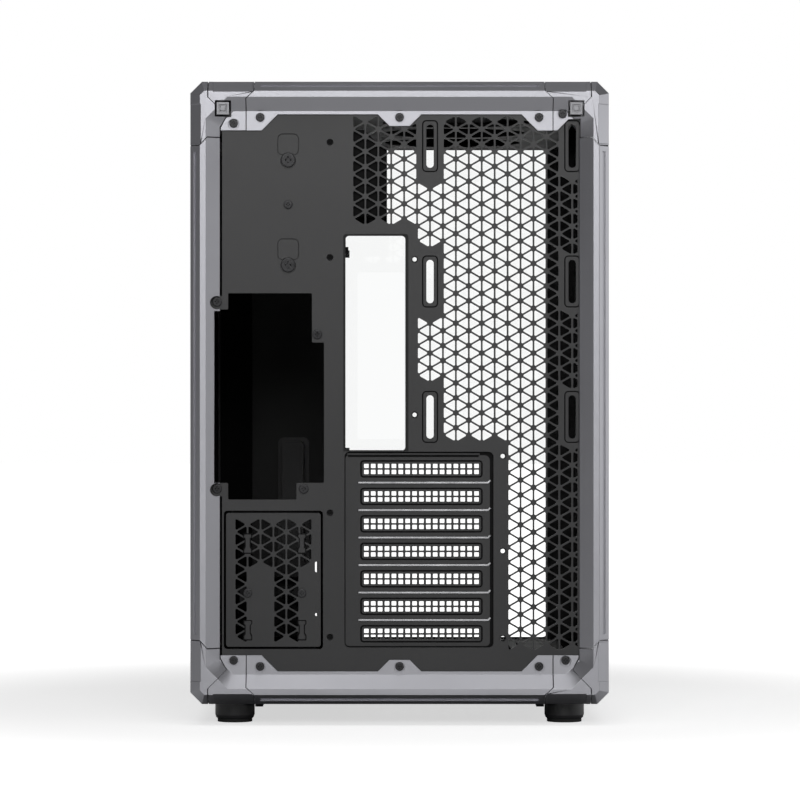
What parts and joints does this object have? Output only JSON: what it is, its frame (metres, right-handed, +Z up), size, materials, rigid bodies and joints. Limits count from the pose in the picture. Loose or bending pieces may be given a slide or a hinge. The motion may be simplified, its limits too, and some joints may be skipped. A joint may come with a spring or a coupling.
{
  "type": "computer case",
  "caption": "Dual-chamber tower computer case with an aluminium edge frame, vented steel back, clear side and front, slot covers and feet.",
  "frame": {"origin": "on the floor below the middle of the case", "axes": "+Z up; the back faces -Y and the front +Y; +X is to the right as seen from behind, the side with the glass"},
  "size_m": [0.309, 0.45, 0.476],
  "materials": {
    "frame": "bead-blasted, grey anodised",
    "sheet": "fine-textured black powder coat",
    "plastic": "moulded, fine spark texture",
    "rubber": "matt",
    "glass": "clear, tempered",
    "port_steel": "pressed, plated",
    "screw": "black zinc"
  },
  "bodies": {
    "case": {"rear_top_rail": "frame", "rear_bottom_rail": "frame", "rear_left_post": "frame", "rear_right_post": "frame", "rear_cap_top_left": "frame", "rear_cap_top_right": "frame", "rear_cap_bottom_left": "frame", "rear_cap_bottom_right": "frame", "rear_cheek_top_left": "frame", "rear_cheek_top_right": "frame", "rear_cheek_bottom_left": "frame", "rear_cheek_bottom_right": "frame", "front_top_rail": "frame", "front_bottom_rail": "frame", "front_left_post": "frame", "front_right_post": "frame", "front_corner_top_left": "frame", "front_corner_top_right": "frame", "front_corner_bottom_left": "frame", "front_corner_bottom_right": "frame", "depth_rail_top_left": "frame", "depth_rail_top_right": "frame", "depth_rail_bottom_left": "frame", "depth_rail_bottom_right": "frame", "snap_pins": "frame", "rear_panel": "sheet", "bay_cover": "sheet", "slot_cover_1": "sheet", "slot_cover_2": "sheet", "slot_cover_3": "sheet", "slot_cover_4": "sheet", "slot_cover_5": "sheet", "slot_cover_6": "sheet", "slot_cover_7": "sheet", "tray": "sheet", "standoffs": "screw", "cable_grommets": "rubber", "floor_plate": "sheet", "fan_tray": "sheet", "drive_cage": "sheet", "keyhole_plate": "sheet", "front_chassis": "sheet", "left_filter": "plastic", "top_cover": "sheet", "pull_tab": "plastic", "bottom_filter": "plastic", "left_panel": "sheet", "side_glass": "glass", "front_glass": "glass", "front_vent_panel": "sheet", "connector_housing": "plastic", "port_shells": "port_steel", "foot_rear_left": "plastic", "foot_rear_right": "plastic", "foot_front_left": "plastic", "foot_front_right": "plastic", "foot_pads": "rubber", "case_screws": "screw"},
    "power_button": {"power_button": "frame"},
    "reset_button": {"reset_button": "plastic"}
  },
  "joints": [
    {"name": "power_press", "type": "slide", "parent": "case", "child": "power_button", "axis": [0, -1, 0], "range_m": [0, 0.001], "stiffness_N_per_m": 400, "springref_m": -0.001},
    {"name": "reset_press", "type": "slide", "parent": "case", "child": "reset_button", "axis": [0, -1, 0], "range_m": [0, 0.001], "stiffness_N_per_m": 400, "springref_m": -0.001}
  ]
}
